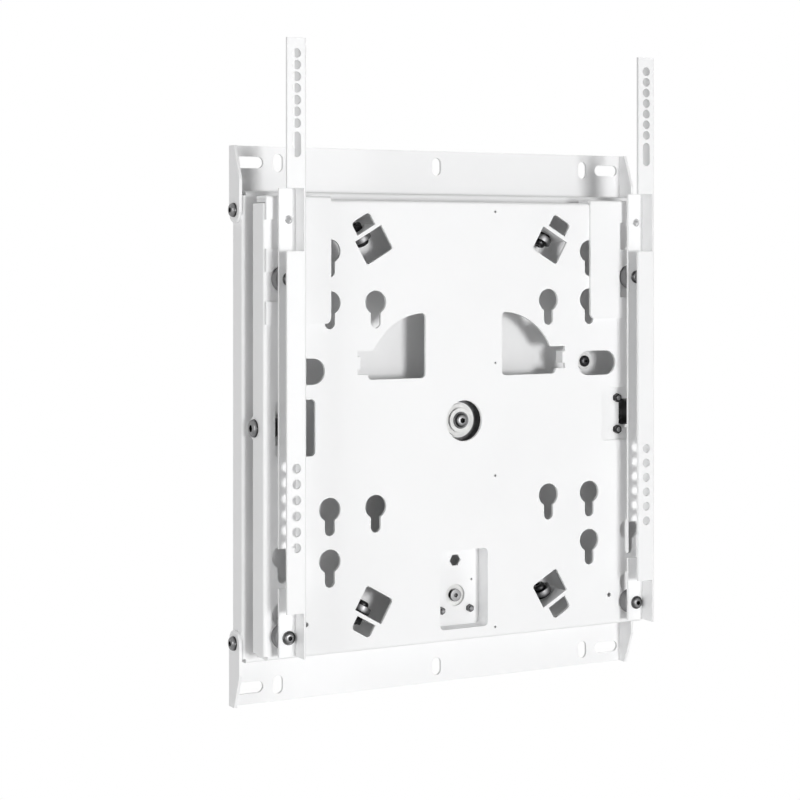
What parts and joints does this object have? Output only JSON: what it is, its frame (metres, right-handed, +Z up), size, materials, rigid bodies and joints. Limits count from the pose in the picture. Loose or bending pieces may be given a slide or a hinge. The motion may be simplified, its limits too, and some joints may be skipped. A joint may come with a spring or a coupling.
{
  "type": "rotating television wall mount",
  "caption": "Flat wall mount whose front pan and two television rails turn a quarter turn on a fixed carrier pan, between upright and level.",
  "frame": {"origin": "on the wall plane, at the centre of the four corner wall slots, in line with the turning axis", "axes": "+X to the right seen from the front, +Y into the wall, +Z up"},
  "size_m": [0.469, 0.0915, 0.644],
  "materials": {
    "white_powder": "white powder coat, satin",
    "dark_steel": "dark zinc, satin",
    "grey_spacer": "matte",
    "black_polymer": "matte",
    "bearing_steel": "ground steel",
    "white_polymer": "matte"
  },
  "bodies": {
    "wall_side": {"wall_strip_top": "white_powder", "wall_strip_bottom": "white_powder", "carrier_pan": "white_powder", "hub_axle": "bearing_steel", "hub_washer": "white_polymer", "hub_screw": "dark_steel", "ear_screws": "dark_steel", "ear_nuts": "dark_steel", "guide_spacers": "white_polymer", "guide_screws": "dark_steel", "guide_nuts": "dark_steel"},
    "rotor": {"rotor_pan": "white_powder", "hub_cup": "white_powder", "hub_bush": "white_polymer", "hanger_right": "white_powder", "hanger_left": "white_powder", "rail_right": "white_powder", "rail_left": "white_powder", "side_bracket_right": "white_powder", "side_bracket_left": "white_powder", "axle_arm_right": "white_powder", "axle_arm_left": "white_powder", "rail_screws": "dark_steel", "rail_spacers": "grey_spacer", "rail_nuts": "dark_steel", "lug_bolts": "dark_steel", "roller_races": "bearing_steel", "lug_washers": "bearing_steel", "lug_nuts": "dark_steel", "axle_bolts": "dark_steel", "wheel_spacers": "black_polymer", "wheel_washers": "black_polymer", "axle_nuts": "dark_steel", "bracket_screws": "dark_steel", "bracket_nuts": "dark_steel", "lock_box": "white_powder", "lock_block": "bearing_steel", "lock_screws": "dark_steel", "lock_nuts": "bearing_steel"},
    "roller_upper_right": {"roller_upper_right": "bearing_steel"},
    "roller_upper_left": {"roller_upper_left": "bearing_steel"},
    "roller_lower_left": {"roller_lower_left": "bearing_steel"},
    "roller_lower_right": {"roller_lower_right": "bearing_steel"},
    "side_wheel_right": {"side_wheel_right": "black_polymer"},
    "side_wheel_left": {"side_wheel_left": "black_polymer"},
    "lock_pin": {"lock_pin": "bearing_steel"}
  },
  "joints": [
    {"name": "rotate", "type": "hinge", "parent": "wall_side", "child": "rotor", "pos_m": [0, -0.0475, 0], "axis": [0, 1, 0], "range_deg": [0, 90]},
    {"name": "spin_upper_right", "type": "hinge", "parent": "rotor", "child": "roller_upper_right", "pos_m": [0.1055, -0.0363, 0.18273], "axis": [0.5, 0, 0.866], "range_deg": [0, 1730]},
    {"name": "spin_upper_left", "type": "hinge", "parent": "rotor", "child": "roller_upper_left", "pos_m": [-0.1055, -0.0363, 0.18273], "axis": [-0.5, 0, 0.866], "range_deg": [0, 1730]},
    {"name": "spin_lower_left", "type": "hinge", "parent": "rotor", "child": "roller_lower_left", "pos_m": [-0.1055, -0.0363, -0.18273], "axis": [-0.5, 0, -0.866], "range_deg": [0, 1730]},
    {"name": "spin_lower_right", "type": "hinge", "parent": "rotor", "child": "roller_lower_right", "pos_m": [0.1055, -0.0363, -0.18273], "axis": [0.5, 0, -0.866], "range_deg": [0, 1730]},
    {"name": "spin_side_right", "type": "hinge", "parent": "rotor", "child": "side_wheel_right", "pos_m": [0.2, -0.039, 0], "axis": [1, 0, 0], "range_deg": [0, 1320]},
    {"name": "spin_side_left", "type": "hinge", "parent": "rotor", "child": "side_wheel_left", "pos_m": [-0.2, -0.039, 0], "axis": [-1, 0, 0], "range_deg": [0, 1320]},
    {"name": "lock_slide", "type": "slide", "parent": "rotor", "child": "lock_pin", "axis": [0, 1, 0], "range_m": [0, 0.006]}
  ],
  "couplings": [
    {"joint": "spin_upper_right", "follows": "rotate", "ratio": 19.182},
    {"joint": "spin_upper_left", "follows": "rotate", "ratio": 19.182},
    {"joint": "spin_lower_left", "follows": "rotate", "ratio": 19.182},
    {"joint": "spin_lower_right", "follows": "rotate", "ratio": 19.182},
    {"joint": "spin_side_right", "follows": "rotate", "ratio": 14.598},
    {"joint": "spin_side_left", "follows": "rotate", "ratio": 14.598}
  ]
}
